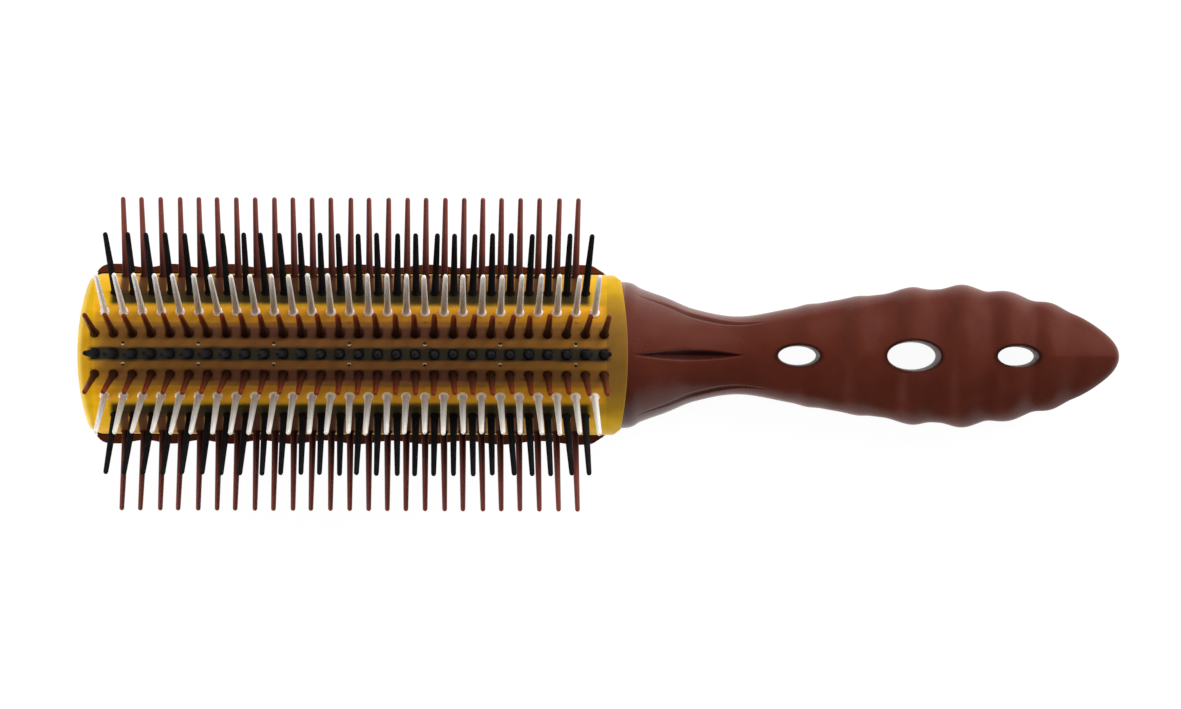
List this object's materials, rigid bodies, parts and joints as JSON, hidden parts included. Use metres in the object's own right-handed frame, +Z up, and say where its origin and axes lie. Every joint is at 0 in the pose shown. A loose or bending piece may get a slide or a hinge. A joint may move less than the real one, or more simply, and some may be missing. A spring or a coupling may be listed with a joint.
{
  "type": "half-round styling hairbrush",
  "caption": "Half-round styling hairbrush with rows of long pins, a slide-off amber cover, a vented back and a ringed handle with eye-shaped holes.",
  "frame": {"origin": "on the surface that the brush lies on, below the middle of its length and width", "axes": "+X along the brush towards the tail of the handle, +Y across it, +Z up through the pins: the brush lies on its back"},
  "size_m": [0.2282, 0.0688, 0.0454],
  "materials": {
    "brown_body": "satin moulded plastic with fine grain",
    "amber_cover": "translucent amber plastic, semi-gloss",
    "black_pins": "semi-gloss nylon",
    "red_brown_pins": "semi-gloss nylon",
    "ivory_pins": "semi-gloss nylon"
  },
  "bodies": {
    "frame": {"handle": "brown_body", "back_shell": "brown_body", "pin_carrier": "brown_body"},
    "pad": {"pad_cover": "amber_cover", "pin_row_centre": "black_pins", "pin_row_left_1": "red_brown_pins", "pin_row_left_2": "ivory_pins", "pin_row_left_3": "black_pins", "pin_row_left_4": "red_brown_pins", "pin_row_right_1": "red_brown_pins", "pin_row_right_2": "ivory_pins", "pin_row_right_3": "black_pins", "pin_row_right_4": "red_brown_pins"}
  },
  "joints": [
    {"name": "pad_slide", "type": "slide", "parent": "frame", "child": "pad", "axis": [-1, 0, 0], "range_m": [0, 0.112]}
  ]
}
